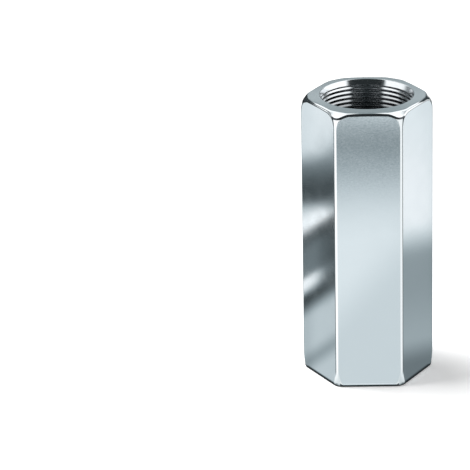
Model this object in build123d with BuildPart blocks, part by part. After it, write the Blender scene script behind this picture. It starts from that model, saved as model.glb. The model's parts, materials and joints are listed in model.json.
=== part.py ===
import math
import os

from build123d import *

# A long hexagonal nut that joins two threaded rods end to end.
# It stands on one end face. The origin is the middle of that face and +Z runs along the bore.

# Fine metric thread, right hand, through the whole length.
# The bore stands at the thread's minor diameter, as a tapped hole is drawn.
thread_diameter = 16.0
thread_pitch = 0.75

# Drawn hexagonal bar. The wall is what is left between the thread and the middle of a flat.
wall = 1.5
length = 48.5
corner_radius = 0.6

# The upper end is turned to a cone over the corners, with its angle from the end face.
# The lower end is cut square. Both have their edges rounded, the upper one more.
chamfer_width = 1.2
chamfer_angle = 45.0
upper_edge_radius = 0.6
lower_edge_radius = 0.3

# Countersinks, alike at both mouths, with the cone's angle from side to side.
# They open a little short of the thread's outer diameter.
countersink_angle = 60.0
countersink_inset = 0.2
mouth_radius = 0.1

# Sizes that follow from those above
across_flats = thread_diameter + 2 * wall
corner_reach = across_flats / math.sqrt(3)
face_radius = corner_reach - chamfer_width
chamfer_depth = chamfer_width * math.tan(math.radians(chamfer_angle))
thread_height = thread_pitch * math.sqrt(3) / 2
bore_radius = thread_diameter / 2 - thread_height * 5 / 8
countersink_radius = thread_diameter / 2 - countersink_inset
countersink_depth = (countersink_radius - bore_radius) / math.tan(math.radians(countersink_angle / 2))

with BuildPart() as nut:
    # Hexagonal bar with rounded long edges, two of its flats facing +Y and -Y
    with BuildSketch():
        RegularPolygon(radius=across_flats / 2, side_count=6, major_radius=False)
        fillet(vertices(), radius=corner_radius)
    extrude(amount=length)

    # The upper end turned to a cone, which cuts a curved edge into every flat
    with BuildSketch(Plane.XZ):
        with BuildLine():
            Polyline(
                (0, 0),
                (corner_reach, 0),
                (corner_reach, length - chamfer_depth),
                (face_radius, length),
                (0, length),
                close=True,
            )
        make_face()
    revolve(axis=Axis.Z, mode=Mode.INTERSECT)

    # The edges of both ends are rounded, the long edges of the bar aside
    across = edges().filter_by(Axis.Z, reverse=True)
    fillet(across.filter_by(lambda edge: edge.center().Z > length / 2), radius=upper_edge_radius)
    fillet(across.filter_by(lambda edge: edge.center().Z < length / 2), radius=lower_edge_radius)

    # Bore at the thread's minor diameter, countersunk at both mouths
    with BuildSketch(Plane.XZ):
        with BuildLine():
            Polyline(
                (0, 0),
                (countersink_radius, 0),
                (bore_radius, countersink_depth),
                (bore_radius, length - countersink_depth),
                (countersink_radius, length),
                (0, length),
                close=True,
            )
        make_face()
    revolve(axis=Axis.Z, mode=Mode.SUBTRACT)

    # The mouths' own edges, where the countersinks meet the end faces
    end_faces = faces().filter_by(Axis.Z)
    fillet([edge for face in end_faces for edge in face.inner_wires().edges()], radius=mouth_radius)

nut.part.label = "coupling_nut"
os.makedirs("parts", exist_ok=True)
export_step(nut.part, "parts/coupling_nut.step")
print("bore radius", round(bore_radius, 4), "countersink depth", round(countersink_depth, 4))
print("volume", round(nut.part.volume, 1), "box", nut.part.bounding_box().size)
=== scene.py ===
import json
import math

import bpy
import numpy as np
from mathutils import Matrix, Vector


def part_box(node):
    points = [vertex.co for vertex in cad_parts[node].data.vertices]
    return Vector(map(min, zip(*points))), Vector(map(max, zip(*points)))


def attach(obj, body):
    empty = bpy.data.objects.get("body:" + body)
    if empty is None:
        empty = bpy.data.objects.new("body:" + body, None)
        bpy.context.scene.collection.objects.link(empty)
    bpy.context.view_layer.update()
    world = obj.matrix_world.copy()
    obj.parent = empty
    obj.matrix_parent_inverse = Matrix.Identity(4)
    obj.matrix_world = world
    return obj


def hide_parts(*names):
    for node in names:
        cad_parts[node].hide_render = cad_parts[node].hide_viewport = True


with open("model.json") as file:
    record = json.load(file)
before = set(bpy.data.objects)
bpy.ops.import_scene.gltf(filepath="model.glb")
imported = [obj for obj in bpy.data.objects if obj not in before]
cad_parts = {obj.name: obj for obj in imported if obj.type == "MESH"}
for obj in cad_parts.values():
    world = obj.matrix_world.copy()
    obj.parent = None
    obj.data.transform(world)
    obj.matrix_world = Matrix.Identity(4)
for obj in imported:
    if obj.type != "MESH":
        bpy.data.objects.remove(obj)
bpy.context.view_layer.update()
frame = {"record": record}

# Sizes from the frame, in metres
node_low, node_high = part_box("coupling_nut")
mount_dims = {mount["name"]: mount["dims"] for mount in frame["record"]["mounts"]}
LENGTH = node_high.z - node_low.z
ACROSS_FLATS = node_high.y - node_low.y
BORE_RADIUS = mount_dims["thread_top"]["r_mm"] / 1000

# The long edges' radius, and what it grows to at the ends
CORNER_RADIUS = 0.000601
END_CORNER_RADIUS = 0.0019

# The two ends: how wide the chamfer over the corners is, how much the face falls outwards, the radius
# of the edges, and between which depths from the end the long edges narrow to their own radius
UPPER_END = {"chamfer": 0.0012, "slope": 0.1, "edge": 0.0006, "wide": 0.0011, "narrow": 0.0030}
LOWER_END = {"chamfer": 0.0, "slope": 0.0, "edge": 0.0003, "wide": 0.0003, "narrow": 0.0030}

# Both faces are countersunk round the bore
MOUTH_REACH = 0.0078
MOUTH_RADIUS = 0.0001
COUNTERSINK_HALF_ANGLE = math.radians(20)
CREST_INSET = 0.00014

# The fine right-hand thread, how deep its first full groove lies at the far wall, and between which depths
# it grows from nothing to its full depth
THREAD_PITCH = 0.00075
THREAD_SLOPE = 0.75
FIRST_GROOVE_DEPTH = 0.00123
THREAD_START, THREAD_FULL = 0.00080, 0.00092

# One turn of the thread: places along the pitch from a crest's middle, with the share of the groove's depth
# there. The flanks are straight, and both the crest and the groove are rounded off. Without the roundings
# a flank would run from the first of its two shares to the second.
TURN_SHARES = (0.10, 0.17, 0.43, 0.48, 0.52, 0.57, 0.83, 0.90)
TURN_DEPTHS = (0.0, 0.109, 0.922, 1.0, 1.0, 0.922, 0.109, 0.0)
FLANK_SHARES = (0.135, 0.455)
GROOVE_DEPTH = THREAD_PITCH * THREAD_SLOPE * (FLANK_SHARES[1] - FLANK_SHARES[0])

# How finely the mesh is divided: round the long edges and the roundings, over half a flat's width, and down
# the walls from each end's outermost ring
ARC_STEPS = 8
ROUNDING_STEPS = 4
FLAT_PLACES = (0.0, 0.16, 0.32, 0.47, 0.62, 0.73, 0.83, 0.92)
WALL_DEPTHS = (0.0003, 0.0006, 0.0009, 0.0013, 0.0017, 0.0022, 0.0028, 0.0120)

# The bore has points just above and below a countersink's foot, and its others keep clear of those and of
# the mouths. Points nearer to each other than the last two values count as level, or as one.
FOOT_STEP = 0.00002
CLEAR_OF_FOOT = 0.00003
SAME_HEIGHT = 0.00002
SAME_PLACE = 1e-9

# Camera: where it stands, how it is turned, and its lens
CAMERA_DISTANCE = 0.5540
CAMERA_HEIGHT = 0.2362
CAMERA_AZIMUTH = 0.0227
CAMERA_YAW = -0.0173
CAMERA_PITCH = 0.3660
CAMERA_ROLL = -0.0198
CAMERA_LENS = 271.6

# The floor, its light and the room's. A brightness of 1 is white paper.
FLOOR_REACH = 3.0
PAPER_COLOUR = 0.9
PAPER_GLOW = 0.27
LAMP_STRENGTH = 3.7
LAMP_ANGLE = math.radians(36)
LAMP_DIRECTION = Vector((1.0, -0.36, -2.18))
FILL_BRIGHTNESS = 0.36
CARD_BRIGHTNESS = 0.06
OPENING_BRIGHTNESS = 0.03

# Dark cards on the floor at the left, as the metal sees them: start, end and the softness of each, in metres
FAR_CARD = (0.0719, 0.0975, 0.0040, 0.0040)
MIDDLE_CARD = (0.0445, 0.0661, 0.0011, 0.0011)
NEAR_CARD = (0.0304, 0.0387, 0.0040, 0.0024)

UP = np.array([0.0, 0.0, 1.0])
COS_30 = math.cos(math.radians(30))
TAN_30 = math.tan(math.radians(30))

# The finishes, by their place in the nut's list of materials
# One of them is a painted highlight: the long edges, coloured brighter than the flats
# One of them is painted shade: the near-black roundings at the upper corners
DRAWN, TURNED, EDGE, CUT, PAINTED_SHADE, PAINTED_HIGHLIGHT = range(6)


def unit(vectors):
    """The vectors at length 1, row by row."""
    return vectors / np.linalg.norm(vectors, axis=-1, keepdims=True)


def outline_columns():
    """The columns of points round the bar, counter-clockwise.

    They are four lists: the corners' directions, the normals, the places along a flat as shares of its half
    width, and whether the column belongs to a rounded corner.
    """
    corners, normals, sideways, rounded = [], [], [], []
    places = sorted([-place for place in FLAT_PLACES[1:]] + list(FLAT_PLACES))
    for number in range(6):
        middle = math.radians(60 * number)
        corner = (math.cos(middle), math.sin(middle))
        for step in range(ARC_STEPS + 1):
            angle = middle + math.radians(-30 + 60 * step / ARC_STEPS)
            corners.append(corner)
            normals.append((math.cos(angle), math.sin(angle)))
            sideways.append((0.0, 0.0))
            rounded.append(True)
        facing = middle + math.radians(30)
        for place in places:
            corners.append(corner)
            normals.append((math.cos(facing), math.sin(facing)))
            sideways.append((-math.sin(facing) * place, math.cos(facing) * place))
            rounded.append(False)
    return np.array(corners), np.array(normals), np.array(sideways), np.array(rounded)


COLUMNS = outline_columns()
COUNT = len(COLUMNS[0])


def outline(radius):
    """Points round the bar, for a corner radius of each column's own: (n, 2)."""
    corners, normals, sideways, rounded = COLUMNS
    half = ACROSS_FLATS / 2
    radius = np.broadcast_to(radius, COUNT)[:, None]
    arcs = corners * (half - radius) / COS_30 + normals * radius
    flats = normals * half + sideways * (half - radius) * TAN_30
    return np.where(rounded[:, None], arcs, flats)


def corner_radius(heights):
    """The long edges' radius at each height, and how fast it grows upwards."""
    is_upper = heights > LENGTH / 2
    depth = np.where(is_upper, LENGTH - heights, heights)
    wide = np.where(is_upper, UPPER_END["wide"], LOWER_END["wide"])
    narrow = np.where(is_upper, UPPER_END["narrow"], LOWER_END["narrow"])
    share = np.clip((narrow - depth) / (narrow - wide), 0, 1)
    change = END_CORNER_RADIUS - CORNER_RADIUS
    growth = np.where(share < 1, 2 * change * share / (narrow - wide), 0.0)
    return CORNER_RADIUS + change * share ** 2, np.where(is_upper, growth, -growth)


def wall_row(heights):
    """One ring of points on the drawn bar, with normals: each column at its own height."""
    corners, normals, rounded = COLUMNS[0], COLUMNS[1], COLUMNS[3]
    radius, growth = corner_radius(heights)
    points = outline(radius)
    facing = (corners * normals).sum(1) / COS_30
    tilt = np.where(rounded, growth * (facing - 1), 0.0)
    return np.column_stack([points, heights]), unit(np.column_stack([normals, tilt]))


def turned(start, end, share):
    """Directions between two sets of unit vectors, along the arc from one to the other."""
    angle = np.arccos(np.clip((start * end).sum(-1, keepdims=True), -1, 1))
    size = np.maximum(np.sin(angle), 1e-9)
    mixed = (np.sin((1 - share) * angle) * start + np.sin(share * angle) * end) / size
    return np.where(angle < 1e-6, start, mixed)


def rounding(middles, radius, start, end):
    """Rings over a rounding, from one direction to another: (places, normals)."""
    normals = [turned(start, end, step / ROUNDING_STEPS) for step in range(ROUNDING_STEPS + 1)]
    return [(middles + radius * normal, normal) for normal in normals]


def mouth_rows(radial, face):
    """Rings over the rounding between the countersink and the face."""
    lean = COUNTERSINK_HALF_ANGLE
    reach = MOUTH_REACH + MOUTH_RADIUS * (1 - math.sin(lean)) / math.cos(lean)
    inward = unit(UP * math.sin(lean) - radial * math.cos(lean))
    return rounding(radial * reach + UP * (LENGTH - MOUTH_RADIUS), MOUTH_RADIUS, inward, face)


def end_rows(end):
    """Rings over an end, as the upper one, from the countersink's edge out to the wall: (places, normals)."""
    radius = end["edge"]
    normals = COLUMNS[1]
    inner = outline(END_CORNER_RADIUS) - radius * normals
    reach = np.linalg.norm(inner, axis=1)
    radial = np.column_stack([inner / reach[:, None], np.zeros(COUNT)])
    level = np.column_stack([normals, np.zeros(COUNT)])
    face = unit(radial * end["slope"] + UP)
    slope = unit((radial if end["chamfer"] else level) + UP)

    # The rounding between face and chamfer, then the one between chamfer and wall. Where a flat
    # leaves no chamfer the two are one arc, straight from the face down to the wall.
    edge_reach = ACROSS_FLATS / 2 / COS_30 - end["chamfer"]
    edge_height = LENGTH - end["slope"] * (edge_reach - MOUTH_REACH)
    face_normal = np.array([end["slope"], 1.0]) / math.hypot(end["slope"], 1)
    slope_normal = np.array([1.0, 1.0]) / math.sqrt(2)
    offset = radius * (face_normal + slope_normal) / (1 + face_normal @ slope_normal)
    circle, height = edge_reach - offset[0], edge_height - offset[1]
    ring_reach = np.minimum(reach, circle)
    ring_height = height + end["slope"] * (circle - ring_reach)
    wall_height = ring_height - np.maximum(reach - circle, 0.0)
    ring_middles = radial * ring_reach[:, None] + UP * ring_height[:, None]
    wall_middles = radial * reach[:, None] + UP * wall_height[:, None]
    edges = rounding(ring_middles, radius, face, slope) + rounding(wall_middles, radius, slope, level)
    return mouth_rows(radial, face) + edges


def mirrored(rows):
    """An upper end's rings turned over as a lower one's, in the opposite order."""
    flip = np.array([1.0, 1.0, -1.0])
    return [(place * flip + UP * LENGTH, normal * flip) for place, normal in reversed(rows)]


def first_crest(angle):
    """Height of the crest above the first full groove, at an angle round the bore from +X."""
    return LENGTH - FIRST_GROOVE_DEPTH + THREAD_PITCH * (0.5 + angle / (2 * math.pi) - 0.25)


def countersink_foot():
    """How far below the ends the countersinks reach."""
    return (MOUTH_REACH - BORE_RADIUS + CREST_INSET) / math.tan(COUNTERSINK_HALF_ANGLE)


def thread_radius(angle, heights):
    """Radius of the bore's wall in one column: the thread, which fades out on the countersinks."""
    turn = (first_crest(angle) - heights) / THREAD_PITCH
    share = turn - np.floor(turn)
    groove = GROOVE_DEPTH * np.interp(share, TURN_SHARES, TURN_DEPTHS, period=1)
    depth = np.minimum(heights, LENGTH - heights)
    groove = groove * np.clip((depth - THREAD_START) / (THREAD_FULL - THREAD_START), 0, 1)
    crest = BORE_RADIUS - CREST_INSET
    cone = np.maximum(MOUTH_REACH - depth * math.tan(COUNTERSINK_HALF_ANGLE), crest)
    return np.maximum(cone, crest + groove)


def bore_heights(angle, low, high):
    """Heights of one column's points between the mouths: along the thread, and at the countersinks' feet."""
    foot = countersink_foot()
    fixed = [middle + side for middle in (foot, LENGTH - foot) for side in (-FOOT_STEP, FOOT_STEP)]
    crest = first_crest(angle)
    last = math.ceil((crest - low) / THREAD_PITCH) + 1
    heights = [crest - (turn + share) * THREAD_PITCH for turn in range(-3, last) for share in TURN_SHARES]
    heights = [height for height in heights if low + CLEAR_OF_FOOT < height < high - CLEAR_OF_FOOT]
    heights = [height for height in heights if min(abs(height - f) for f in fixed) > CLEAR_OF_FOOT]
    return sorted(heights + fixed)


class Skin:
    """Points, normals and faces of the nut, gathered ring by ring."""

    def __init__(self):
        self.places = []
        self.normals = []
        self.faces = []
        self.finishes = []

    def add_point(self, place, normal):
        self.places.append(place)
        self.normals.append(normal)
        return len(self.places) - 1

    def add_face(self, corners, finish):
        kept = [corner for place, corner in enumerate(corners) if corner != corners[place - 1]]
        if len(kept) > 2:
            self.faces.append(kept)
            self.finishes.append(finish)


def stitch(skin, left, right, finish):
    """Joins two neighbouring columns of points, each a list of (height, index) from low to high."""
    a, b = 0, 0
    while a < len(left) - 1 or b < len(right) - 1:
        next_left = left[a + 1][0] if a < len(left) - 1 else math.inf
        next_right = right[b + 1][0] if b < len(right) - 1 else math.inf
        if abs(next_left - next_right) < SAME_HEIGHT:
            skin.add_face([left[a][1], left[a + 1][1], right[b + 1][1], right[b][1]], finish)
            a, b = a + 1, b + 1
        elif next_left < next_right:
            skin.add_face([left[a][1], left[a + 1][1], right[b][1]], finish)
            a += 1
        else:
            skin.add_face([left[a][1], right[b + 1][1], right[b][1]], finish)
            b += 1


def wall_rows(top, bottom):
    """Rings down the drawn bar, between the ends' outermost rings, whose heights differ by column."""
    upper = [wall_row(top - depth) for depth in WALL_DEPTHS]
    lower = [wall_row(bottom + depth) for depth in reversed(WALL_DEPTHS)]
    return upper + [wall_row(np.full(COUNT, LENGTH / 2))] + lower


def add_rings(skin, rings):
    """Adds the rings' points and gives their numbers ring by ring. Rings that meet share a point."""
    index = []
    for place, normal in rings:
        row = []
        for column in range(COUNT):
            same = index and np.linalg.norm(place[column] - skin.places[index[-1][column]]) < SAME_PLACE
            row.append(index[-1][column] if same else skin.add_point(place[column], normal[column]))
        index.append(row)
    return index


def outside_finish(from_top, from_end, end_rings, is_corner):
    """The finish below a ring, by its number from the top and from the nearer end."""
    wall = end_rings - 1
    if from_end >= wall:
        # The long edges get their painted highlight
        return PAINTED_HIGHLIGHT if is_corner else DRAWN
    if from_end < wall - ROUNDING_STEPS:
        return TURNED
    # The upper roundings at the corners get painted shade
    is_upper_rounding = from_top == from_end > wall - ROUNDING_STEPS
    return PAINTED_SHADE if is_corner and is_upper_rounding else EDGE


def add_outside(skin, index, end_rings):
    """Adds the faces between the rings, from the upper mouth over the walls to the lower one."""
    is_rounded = COLUMNS[3]
    last = len(index) - 2
    for ring in range(last + 1):
        above, below = index[ring], index[ring + 1]
        for column in range(COUNT):
            after = (column + 1) % COUNT
            is_corner = is_rounded[column] and is_rounded[after]
            finish = outside_finish(ring, min(ring, last - ring), end_rings, is_corner)
            skin.add_face([above[column], below[column], below[after], above[after]], finish)


def add_bore(skin, upper_mouth, lower_mouth, index):
    """Adds the threaded bore, in columns of points from the lower mouth's ring up to the upper one's."""
    angles = np.arctan2(upper_mouth[:, 1], upper_mouth[:, 0]) % (2 * math.pi)
    low, high = lower_mouth[0, 2], upper_mouth[0, 2]
    columns = []
    for column, angle in enumerate(angles):
        heights = np.array(bore_heights(angle, low, high))
        points = [(low, index[-1][column])]
        for height, radius in zip(heights, thread_radius(angle, heights)):
            place = np.array([radius * math.cos(angle), radius * math.sin(angle), height])
            points.append((height, skin.add_point(place, None)))
        points.append((high, index[0][column]))
        columns.append(points)
    for column in range(COUNT):
        stitch(skin, columns[column], columns[(column + 1) % COUNT], CUT)


def nut_skin():
    """The whole closed surface: both ends, the walls, and the threaded bore between the mouths."""
    upper = end_rows(UPPER_END)
    lower = mirrored(end_rows(LOWER_END))
    top, bottom = upper[-1][0][:, 2], lower[0][0][:, 2]
    skin = Skin()
    index = add_rings(skin, upper + wall_rows(top, bottom) + lower)
    add_outside(skin, index, len(upper))
    add_bore(skin, upper[0][0], lower[-1][0], index)
    return skin


def fill_normals(skin):
    """All the normals. A point that has none yet gets the mean of its faces', each weighted by its area."""
    places = np.array(skin.places)
    sums = np.zeros_like(places)
    for face in skin.faces:
        a, b, c = places[face[0]], places[face[1]], places[face[2]]
        area = np.cross(b - a, c - a)
        if len(face) == 4:
            area = area + np.cross(c - a, places[face[3]] - a)
        for corner in face:
            sums[corner] += area
    return [unit(sums[point]) if normal is None else normal for point, normal in enumerate(skin.normals)]


def make_nut(materials):
    skin = nut_skin()
    mesh = bpy.data.meshes.new("nut")
    mesh.from_pydata([tuple(place) for place in skin.places], [], skin.faces)
    for material in materials:
        mesh.materials.append(material)
    mesh.polygons.foreach_set("material_index", skin.finishes)
    mesh.shade_smooth()
    mesh.normals_split_custom_set_from_vertices([tuple(normal) for normal in fill_normals(skin)])
    mesh.update()
    piece = bpy.data.objects.new("nut", mesh)
    bpy.context.scene.collection.objects.link(piece)
    return piece


class Graph:
    """Short ways to add nodes to a material or the world."""

    def __init__(self, owner):
        owner.use_nodes = True
        self.nodes = owner.node_tree.nodes
        self.links = owner.node_tree.links

    def put(self, socket, value):
        """Links a node's output to the socket, or sets a plain value there."""
        if isinstance(value, bpy.types.NodeSocket):
            self.links.new(value, socket)
        elif value is not None:
            socket.default_value = value

    def math(self, operation, first, second=None):
        node = self.nodes.new("ShaderNodeMath")
        node.operation = operation
        self.put(node.inputs[0], first)
        self.put(node.inputs[1], second)
        return node.outputs[0]

    def total(self, first, *others):
        for other in others:
            first = self.math("ADD", first, other)
        return first

    def product(self, first, *others):
        for other in others:
            first = self.math("MULTIPLY", first, other)
        return first

    def largest(self, first, *others):
        for other in others:
            first = self.math("MAXIMUM", first, other)
        return first

    def reach(self, x, y):
        """Distance from the axis."""
        return self.math("SQRT", self.total(self.product(x, x), self.product(y, y)))

    def soft_step(self, value, start, end, low=0.0, high=1.0):
        """Low before the start, high after the end, smooth between them."""
        node = self.nodes.new("ShaderNodeMapRange")
        node.interpolation_type = "SMOOTHSTEP"
        for name, number in (("From Min", start), ("From Max", end), ("To Min", low), ("To Max", high)):
            node.inputs[name].default_value = number
        self.put(node.inputs["Value"], value)
        return node.outputs["Result"]

    def band(self, value, start, end, start_blur, end_blur=None, end_value=None):
        """1 between the start and the end, 0 outside, with soft edges. The end may follow its own value."""
        end_blur = end_blur or start_blur
        rise = self.soft_step(value, start - start_blur, start + start_blur)
        fall = self.soft_step(end_value or value, end + end_blur, end - end_blur)
        return self.product(rise, fall)

    def stretch(self, value, start, end):
        """The value stretched so that the start becomes 0 and the end 1."""
        node = self.nodes.new("ShaderNodeMapRange")
        node.inputs["From Min"].default_value = start
        node.inputs["From Max"].default_value = end
        self.put(node.inputs["Value"], value)
        return node.outputs["Result"]

    def mix(self, share, first, second):
        """A number between the first, at share 0, and the second, at share 1."""
        node = self.nodes.new("ShaderNodeMix")
        self.put(node.inputs[0], share)
        self.put(node.inputs[2], first)
        self.put(node.inputs[3], second)
        return node.outputs[0]

    def fade(self, value, share, strength):
        """The value times the strength at share 1, and as it was at share 0."""
        return self.product(value, self.mix(share, 1.0, strength))

    def by_side(self, x, left, right):
        """The left value where x is negative, the right one where it is positive."""
        return self.mix(self.math("GREATER_THAN", x, 0.0), left, right)

    def colour_mix(self, share, first, second):
        """The first colour at share 0, the second at share 1."""
        node = self.nodes.new("ShaderNodeMix")
        node.data_type = "RGBA"
        self.put(node.inputs[0], share)
        for socket, colour in ((node.inputs[6], first), (node.inputs[7], second)):
            self.put(socket, (*colour, 1) if isinstance(colour, tuple) else colour)
        return node.outputs[2]

    def shader_mix(self, share, first, second):
        """The first shader at share 0, the second at share 1."""
        node = self.nodes.new("ShaderNodeMixShader")
        for socket, value in zip(node.inputs, (share, first, second)):
            self.links.new(value, socket)
        return node.outputs[0]

    def light(self, kind, colour, strength=1.0):
        """An emission or background of a colour and a strength."""
        node = self.nodes.new(kind)
        self.put(node.inputs["Color"], colour)
        self.put(node.inputs["Strength"], strength)
        return node.outputs[0]

    def is_ray(self, kind):
        """1 for rays of a kind, 0 for the others."""
        return self.nodes.new("ShaderNodeLightPath").outputs["Is " + kind + " Ray"]

    def split(self, vector):
        node = self.nodes.new("ShaderNodeSeparateXYZ")
        self.links.new(vector, node.inputs[0])
        return node.outputs[0], node.outputs[1], node.outputs[2]

    def join(self, x, y, z):
        node = self.nodes.new("ShaderNodeCombineXYZ")
        for socket, part in zip(node.inputs, (x, y, z)):
            self.put(socket, part)
        return node.outputs[0]

    def place(self):
        """The place on the nut."""
        return self.nodes.new("ShaderNodeTexCoord").outputs["Object"]

    def stretched_place(self, x, y, z):
        """The place on the nut with its three parts multiplied."""
        parts = self.split(self.place())
        return self.join(*[self.product(part, size) for part, size in zip(parts, (x, y, z))])

    def noise(self, vector, scale, detail, roughness=0.5):
        node = self.nodes.new("ShaderNodeTexNoise")
        self.put(node.inputs["Vector"], vector)
        node.inputs["Scale"].default_value = scale
        node.inputs["Detail"].default_value = detail
        node.inputs["Roughness"].default_value = roughness
        return node.outputs["Fac"]

    def bump(self, height, distance, normal):
        """A relief over the normal of a coarser one, or over the surface where there is none."""
        node = self.nodes.new("ShaderNodeBump")
        node.inputs["Distance"].default_value = distance
        self.put(node.inputs["Height"], height)
        self.put(node.inputs["Normal"], normal)
        return node.outputs[0]


def metal(name, dark, light, grain, roughness, bumps=()):
    """Bare metal: two colours mixed by the grain, a roughness, and (height, distance) bumps, coarse first."""
    material = bpy.data.materials.new(name)
    graph = Graph(material)
    shader = graph.nodes["Principled BSDF"]
    shader.inputs["Metallic"].default_value = 1.0
    share = graph.stretch(grain(graph), 0.32, 0.68)
    graph.put(shader.inputs["Base Color"], graph.colour_mix(share, dark, light))
    graph.put(shader.inputs["Roughness"], roughness(graph) if callable(roughness) else roughness)
    normal = None
    for height, distance in bumps:
        normal = graph.bump(height(graph), distance, normal)
    if normal is not None:
        graph.put(shader.inputs["Normal"], normal)
    return material


def drawn_grain(graph):
    """Fine mottling, drawn out sideways, and strongest near the upper end of the front and back flats."""
    y, z = graph.split(graph.place())[1:]
    is_high = graph.soft_step(z, 0.032, 0.042)
    is_front_or_back = graph.soft_step(graph.math("ABSOLUTE", y), 0.0085, 0.0093)
    strength = graph.total(graph.product(is_high, is_front_or_back, 1.1), 0.12)
    mottling = graph.noise(graph.stretched_place(1.0, 1.0, 2.0), 2400, detail=3.0, roughness=0.6)
    return graph.total(graph.product(graph.math("SUBTRACT", mottling, 0.5), strength), 0.5)


def drawn_mottle(graph):
    """The grain's relief, mostly near the upper end."""
    z = graph.split(graph.place())[2]
    strength = graph.soft_step(z, 0.034, 0.044, low=0.1, high=1.0)
    relief = graph.noise(graph.stretched_place(1.0, 1.0, 2.0), 1500, detail=3.0, roughness=0.55)
    return graph.product(graph.math("SUBTRACT", relief, 0.5), strength)


def drawn_waves(graph):
    """Slow unevenness of the drawn flats."""
    return graph.noise(graph.stretched_place(1.0, 1.0, 0.8), 75, detail=1.0)


def drawn_roughness(graph):
    """Roughness of the drawn flats, a little uneven."""
    unevenness = graph.noise(graph.stretched_place(1.0, 1.0, 1.5), 260, detail=3.0)
    return graph.soft_step(unevenness, 0.3, 0.7, low=0.092, high=0.118)


def turned_rings(graph):
    """Faint rings left by the turning tool, with a little grain across them."""
    x, y, z = graph.split(graph.place())
    along_rings = graph.join(graph.reach(x, y), graph.product(x, 0.04), graph.product(z, 0.5))
    rings = graph.noise(along_rings, 6500, detail=2.0)
    grain = graph.noise(graph.place(), 2600, detail=2.0)
    return graph.mix(0.4, rings, grain)


def thread_streaks(graph):
    """Faint streaks along the thread."""
    x, y, z = graph.split(graph.place())
    round_bore = graph.product(graph.math("ARCTAN2", y, x), 0.0004)
    return graph.noise(graph.join(graph.product(x, 0.05), round_bore, z), 7000, detail=2.0)


def drawn_zinc():
    """The flats: satin, with slow waves, and with grain near the upper end."""
    dark, light = (0.705, 0.765, 0.80), (0.865, 0.915, 0.945)
    bumps = [(drawn_waves, 0.000012), (drawn_mottle, 0.000001)]
    return metal("drawn zinc", dark, light, drawn_grain, drawn_roughness, bumps)


def turned_zinc():
    """The end faces and the chamfer, finely turned."""
    bumps = [(turned_rings, 0.0000012)]
    return metal("turned zinc", (0.70, 0.74, 0.76), (0.78, 0.82, 0.84), turned_rings, 0.16, bumps)


def edge_zinc():
    """The roundings between the ends and the walls."""
    return metal("edge zinc", (0.76, 0.80, 0.82), (0.82, 0.85, 0.87), drawn_grain, 0.08)


def cut_zinc():
    """The tapped bore, its colour darkening with depth: painted shade deep in the bore."""
    material = metal("cut zinc", (0.73, 0.76, 0.78), (0.78, 0.81, 0.83), thread_streaks, 0.16)
    graph = Graph(material)
    base_colour = graph.nodes["Principled BSDF"].inputs["Base Color"]
    plated = base_colour.links[0].from_socket
    z = graph.split(graph.place())[2]
    depth = graph.math("MINIMUM", z, graph.math("SUBTRACT", LENGTH, z))
    # Painted shade: the colour goes much darker with depth into the bore
    painted_depth_shade = graph.soft_step(depth, 0.0011, 0.0058, low=0.0, high=0.82)
    graph.put(base_colour, graph.colour_mix(painted_depth_shade, plated, (0.05, 0.055, 0.06)))
    return material


def painted_shade_zinc():
    """Those roundings at the upper corners, coloured near black: painted shade for the thin dark lines there.
    """
    return metal("painted shade zinc", (0.08, 0.09, 0.10), (0.12, 0.13, 0.14), drawn_grain, 0.2)


def painted_highlight_zinc():
    """The long edges, coloured brighter than the flats: a painted highlight along them."""
    return metal("painted highlight zinc", (0.89, 0.92, 0.935), (0.95, 0.97, 0.98), drawn_grain, 0.1)


def studio_colour(graph, brightness):
    """The studio's light at a brightness: darks are bluer than whites."""
    parts = []
    for low, gain, lift in ((0.76, 0.19, 0.025), (0.935, 0.055, 0.0), (1.0, 0.0, 0.0)):
        share = graph.total(graph.product(brightness, gain), low)
        share = graph.total(share, graph.soft_step(brightness, 0.95, 1.05, low=0.0, high=lift))
        parts.append(graph.product(graph.math("MINIMUM", share, 1.0), brightness))
    return graph.join(*parts)


def front_table(graph, x, y):
    """The table in front. Outwards from the nut it is greyish, bright, dark, lighter again and then dark."""
    middle = graph.soft_step(y, -0.139, -0.080, low=0.29, high=0.96)
    far_light = graph.soft_step(y, -0.137, -0.150, low=0.0, high=0.55)
    slanted = graph.total(y, graph.product(x, 2.6))
    foot_grey = graph.soft_step(slanted, -0.070, -0.040, low=1.0, high=0.825)
    far_edge = graph.soft_step(y, -0.165, -0.180, low=1.0, high=0.04)
    return graph.product(graph.total(middle, far_light), foot_grey, far_edge)


def slant(graph, x, y, share_x, size, offset):
    """Distance along a slanted direction over the floor."""
    along = graph.total(graph.product(x, share_x), y)
    return graph.total(graph.product(along, size), offset)


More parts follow.
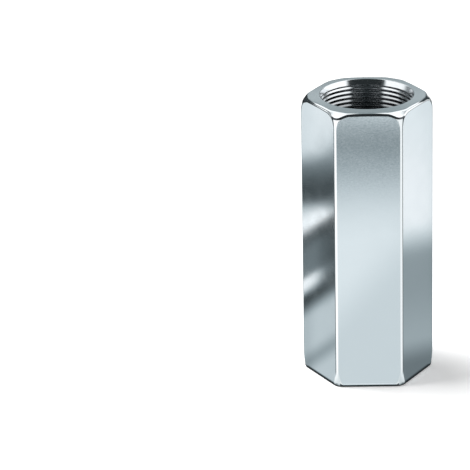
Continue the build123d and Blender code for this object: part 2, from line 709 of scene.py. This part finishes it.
def left_table(graph, x, y):
    """The table at the left, as the left flat mirrors it: three dark cards with bright gaps between them.

    Two distances run outwards from the nut: near goes straight back, and far is slanted to the left.
    across_flat runs over the flat, from the front corner to its left edge, and beside_edge follows that edge.
    """
    far = slant(graph, x, y, share_x=-0.64, size=0.84, offset=0.0)
    far_card_start = slant(graph, x, y, share_x=-2.131, size=0.3726, offset=-0.0038)
    near = slant(graph, x, y, share_x=0.0, size=1.822, offset=0.0093)
    across_flat = graph.total(graph.product(x, 0.45), graph.product(y, 0.82))
    beside_edge = graph.math("SUBTRACT", across_flat, graph.product(near, 0.0134))

    # White paper, greyer far out, and greyer near the nut as painted shade
    table = graph.soft_step(near, 0.036, 0.050, low=0.69, high=1.33)
    table = graph.product(table, graph.soft_step(far, 0.080, 0.094, low=1.0, high=0.67))

    # The gaps between the cards fade towards the front corner, and the outer one by the left edge too
    outer_fade = graph.soft_step(across_flat, -0.0108, -0.0072, low=0.50, high=1.12)
    outer_fade = graph.mix(graph.soft_step(near, 0.098, 0.111), outer_fade, 1.13)
    table = graph.fade(table, graph.soft_step(near, 0.052, 0.060), outer_fade)
    inner_fade = graph.soft_step(across_flat, -0.0086, -0.0052, low=0.15, high=1.50)
    table = graph.fade(table, graph.band(near, 0.034, 0.050, 0.003), inner_fade)
    outer_gap = graph.band(near, 0.0725, 0.0890, 0.0025)
    by_edge = graph.soft_step(beside_edge, -0.0072, -0.0058)
    table = graph.fade(table, graph.product(outer_gap, by_edge), 0.70)

    # The far card, whose far edge bends outwards beside the front corner
    start, end, start_blur, end_blur = FAR_CARD
    far_card_end = graph.total(far, graph.soft_step(across_flat, -0.0086, -0.0072, low=-0.0020, high=0.0))
    card = graph.band(far_card_start, start, end, start_blur, end_blur, end_value=far_card_end)
    table = graph.mix(card, table, graph.soft_step(far, 0.082, 0.097, low=0.080, high=0.28))

    # The middle card, darkest at its far edge and beside the front corner
    beside_corner = graph.soft_step(across_flat, -0.0088, -0.0058, low=0.09, high=0.26)
    shade = graph.product(beside_corner, graph.soft_step(near, 0.0565, 0.0610, low=1.0, high=0.42))
    table = graph.mix(graph.band(near, *MIDDLE_CARD), table, shade)

    # The near card, a grey strip of painted shade by the nut's foot, and a little less light along the left
    # edge
    table = graph.mix(graph.band(near, *NEAR_CARD), table, 0.08)
    table = graph.mix(graph.band(near, 0.0065, 0.0125, 0.0035), table, 0.42)
    return graph.product(table, graph.soft_step(beside_edge, -0.0073, -0.0054, low=1.0, high=0.86))


def right_table(graph, x):
    """The table at the right: bright far out, and shaded near the nut."""
    table = graph.soft_step(x, 0.0545, 0.0710, low=0.38, high=1.04)
    nearer = graph.soft_step(x, 0.045, 0.020, low=0.0, high=0.08)
    farther = graph.soft_step(x, 0.080, 0.125, low=1.02, high=0.95)
    foot_shade = graph.soft_step(x, 0.0125, 0.0230, low=0.48, high=1.0)
    return graph.product(graph.total(table, nearer), farther, foot_shade)


def corner_table(graph, x, y, across, corner_angle):
    """The table before the two front corners: brightest there, up to a dark line beside each of them."""
    is_bright = graph.soft_step(corner_angle, math.radians(-84), math.radians(-72))
    fan = graph.soft_step(x, -0.001, 0.001, low=1.18, high=1.00)
    fan = graph.product(fan, graph.soft_step(across, 0.0055, 0.0110, low=0.70, high=1.0))
    table = graph.mix(is_bright, front_table(graph, x, y), fan)
    line = graph.band(corner_angle, math.radians(-6), math.radians(25), math.radians(4))
    line = graph.product(line, graph.soft_step(across, 0.0085, 0.0120))
    return graph.mix(line, table, 0.10)


def hexagon_reach(graph, x, y):
    """Distance from the axis, square to the nearest flat, or along the radius at the rounded corners."""
    slanted_x = graph.product(x, COS_30)
    half_y = graph.product(y, 0.5)
    first = graph.math("ABSOLUTE", graph.total(slanted_x, half_y))
    second = graph.math("ABSOLUTE", graph.math("SUBTRACT", slanted_x, half_y))
    flats = graph.largest(graph.math("ABSOLUTE", y), first, second)
    corners = graph.math("SUBTRACT", graph.reach(x, y), 0.00118)
    return graph.largest(flats, corners)


def with_foot(graph, x, y, across, table):
    """The table with a light edge round the front of the nut's foot, and the dark below the foot."""
    reach = hexagon_reach(graph, x, y)
    is_front = graph.math("LESS_THAN", y, graph.product(across, -1.9))
    light_edge = graph.product(graph.soft_step(reach, 0.0111, 0.0108), is_front)
    table = graph.mix(light_edge, table, 0.98)
    foot = graph.math("SUBTRACT", reach, graph.product(is_front, 0.0003))
    return graph.mix(graph.soft_step(foot, 0.0104, 0.0100), table, 0.03)


def mirrored_floor(graph, x, y):
    """How bright the floor looks in the metal, by place: a white table with dark cards and the nut's shade.

    corner_angle is the direction seen from the nearer front corner, and side_angle from the nearer side one,
    both from straight outwards towards the back.
    """
    across = graph.math("ABSOLUTE", x)
    corner_place = graph.soft_step(y, -0.0130, -0.0100, low=0.0054, high=0.0044)
    beside_corner = graph.math("SUBTRACT", across, corner_place)
    corner_angle = graph.math("ARCTAN2", graph.total(y, 0.0094), beside_corner)
    side_angle = graph.math("ARCTAN2", y, graph.math("SUBTRACT", across, 0.0108))

    # The tables before the three front flats, and the two corners between them
    flats = graph.by_side(x, left_table(graph, x, y), right_table(graph, x))
    flats = graph.mix(graph.soft_step(across, 0.17, 0.21), flats, 0.04)
    past_corner = graph.soft_step(corner_angle, math.radians(24), math.radians(27))
    table = graph.mix(past_corner, corner_table(graph, x, y, across, corner_angle), flats)

    # A dark sector beside each side corner, the back like the front but dimmer, and a light place far right
    past_side = graph.soft_step(side_angle, math.radians(31), math.radians(40))
    table = graph.mix(past_side, table, 0.06)
    is_behind = graph.soft_step(side_angle, math.radians(46), math.radians(54))
    behind = graph.product(front_table(graph, x, graph.product(y, -1.0)), 0.8)
    table = graph.mix(is_behind, table, behind)
    far_right = graph.product(graph.soft_step(y, 0.20, 0.27), graph.soft_step(x, 0.05, 0.10))
    table = graph.mix(far_right, table, 1.3)
    return with_foot(graph, x, y, across, table)


def paper():
    """White paper. The camera sees it lit, with a glow of its own, and the metal sees mirrored_floor."""
    material = bpy.data.materials.new("white paper")
    graph = Graph(material)
    graph.nodes.clear()
    lit = graph.nodes.new("ShaderNodeBsdfDiffuse")
    lit.inputs["Color"].default_value = (PAPER_COLOUR, PAPER_COLOUR, PAPER_COLOUR, 1)
    glow_strength = graph.product(graph.is_ray("Camera"), PAPER_GLOW)
    glow = graph.light("ShaderNodeEmission", (1, 1, 1, 1), glow_strength)
    glowing = graph.nodes.new("ShaderNodeAddShader")
    graph.links.new(lit.outputs[0], glowing.inputs[0])
    graph.links.new(glow, glowing.inputs[1])
    x, y = graph.split(graph.nodes.new("ShaderNodeNewGeometry").outputs["Position"])[:2]
    mirrored_paper = graph.light("ShaderNodeEmission", studio_colour(graph, mirrored_floor(graph, x, y)))
    surface = graph.shader_mix(graph.is_ray("Glossy"), glowing.outputs[0], mirrored_paper)
    graph.links.new(surface, graph.nodes.new("ShaderNodeOutputMaterial").inputs["Surface"])
    return material


def make_floor():
    """A plain pale floor."""
    mesh = bpy.data.meshes.new("floor")
    reach = FLOOR_REACH
    corners = [(-reach, -reach, 0), (reach, -reach, 0), (reach, reach, 0), (-reach, reach, 0)]
    mesh.from_pydata(corners, [], [(0, 1, 2, 3)])
    mesh.materials.append(paper())
    floor = bpy.data.objects.new("floor", mesh)
    bpy.context.scene.collection.objects.link(floor)


def make_lamp():
    """Soft light from the left, which the metal doesn't mirror."""
    light = bpy.data.lights.new("left lamp", "SUN")
    light.energy = LAMP_STRENGTH
    light.angle = LAMP_ANGLE
    lamp = bpy.data.objects.new("left lamp", light)
    bpy.context.scene.collection.objects.link(lamp)
    lamp.rotation_mode = "QUATERNION"
    lamp.rotation_quaternion = LAMP_DIRECTION.to_track_quat("-Z", "Y")
    lamp.visible_glossy = False


def tent_wall(graph, x, y, z, across):
    """The tent round the nut: bright sides and a dimmer back, both dark near the floor."""
    left = graph.soft_step(z, 0.055, 0.135, low=0.07, high=1.4)
    right = graph.soft_step(z, -0.06, -0.01, low=0.04, high=1.4)
    low_back = graph.soft_step(z, 0.02, 0.12, low=0.05, high=0.46)
    middle_back = graph.soft_step(z, 0.18, 0.34, low=0.0, high=0.14)
    high_back = graph.soft_step(z, 0.36, 0.54, low=0.0, high=-0.22)
    overhead = graph.product(graph.soft_step(z, 0.45, 0.60), graph.soft_step(across, 0.30, 0.12))
    is_back = graph.largest(graph.soft_step(y, 0.66, 0.74), overhead)
    return graph.mix(is_back, graph.by_side(x, left, right), graph.total(low_back, middle_back, high_back))


def tent_cards(graph, x, y, z, across):
    """Where dark cards hang in the tent, which end the bright parts of the thread and the countersink."""
    height = graph.total(z, graph.product(y, 0.9))
    slanted = graph.by_side(x, graph.band(height, 0.61, 0.83, 0.03), graph.band(height, 0.73, 0.83, 0.02))
    slanted = graph.product(slanted, graph.soft_step(y, 0.02, 0.06), graph.soft_step(across, 0.20, 0.28))
    low_left = graph.band(graph.total(z, graph.product(y, 0.24)), 0.246, 0.50, 0.012)
    beside = graph.product(graph.soft_step(x, -0.66, -0.70), graph.soft_step(y, 0.20, 0.10))
    low_left = graph.product(low_left, beside)
    low_back = graph.product(graph.soft_step(y, 0.56, 0.60), graph.soft_step(z, 0.38, 0.34))
    low_back = graph.product(low_back, graph.soft_step(across, 0.22, 0.30))
    return graph.largest(slanted, low_left, low_back)


def tent_opening(graph, y, z, across):
    """Where the tent is open: in front, below the very top."""
    ahead = graph.total(y, graph.product(across, 0.91))
    return graph.product(graph.soft_step(ahead, 0.07, -0.06), graph.soft_step(z, 0.95, 0.91))


def make_world():
    """White to the camera, a plain fill for the floor, and to the metal a white tent with a dark opening."""
    world = bpy.data.worlds.new("studio")
    bpy.context.scene.world = world
    graph = Graph(world)
    x, y, z = graph.split(graph.nodes.new("ShaderNodeTexCoord").outputs["Generated"])
    across = graph.math("ABSOLUTE", x)
    tent = tent_wall(graph, x, y, z, across)
    tent = graph.mix(tent_cards(graph, x, y, z, across), tent, CARD_BRIGHTNESS)
    tent = graph.mix(tent_opening(graph, y, z, across), tent, OPENING_BRIGHTNESS)
    mirrored_room = graph.light("ShaderNodeBackground", studio_colour(graph, tent))
    fill = graph.light("ShaderNodeBackground", (FILL_BRIGHTNESS, FILL_BRIGHTNESS, FILL_BRIGHTNESS, 1))
    white = graph.light("ShaderNodeBackground", (1, 1, 1, 1))
    light = graph.shader_mix(graph.is_ray("Glossy"), fill, mirrored_room)
    light = graph.shader_mix(graph.is_ray("Camera"), light, white)
    graph.links.new(light, graph.nodes["World Output"].inputs["Surface"])


def make_camera():
    """The photo's view, a little from the left and from above."""
    camera = bpy.data.objects.new("camera", bpy.data.cameras.new("camera"))
    bpy.context.scene.collection.objects.link(camera)
    bpy.context.scene.camera = camera
    side, ahead = math.sin(CAMERA_AZIMUTH), math.cos(CAMERA_AZIMUTH)
    camera.location = (-CAMERA_DISTANCE * side, -CAMERA_DISTANCE * ahead, CAMERA_HEIGHT)
    level = Vector((math.sin(CAMERA_YAW), math.cos(CAMERA_YAW), 0))
    forward = level * math.cos(CAMERA_PITCH) - Vector((0, 0, math.sin(CAMERA_PITCH)))
    right = Vector((level.y, -level.x, 0))
    up = right.cross(forward)
    rolled_right = right * math.cos(CAMERA_ROLL) + up * math.sin(CAMERA_ROLL)
    rolled_up = up * math.cos(CAMERA_ROLL) - right * math.sin(CAMERA_ROLL)
    camera.rotation_mode = "QUATERNION"
    camera.rotation_quaternion = Matrix((rolled_right, rolled_up, -forward)).transposed().to_quaternion()
    camera.data.sensor_width = 36
    camera.data.lens = CAMERA_LENS
    camera.data.clip_end = 10


# The materials are in the order of the finishes' numbers
nut = make_nut([drawn_zinc(), turned_zinc(), edge_zinc(), cut_zinc(), painted_shade_zinc(), painted_highlight_zinc()])
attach(nut, "root")
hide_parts("coupling_nut")

make_floor()
make_lamp()
make_world()
make_camera()
bpy.context.scene.view_settings.view_transform = "Standard"

print("triangles", sum(len(face.vertices) - 2 for face in nut.data.polygons))
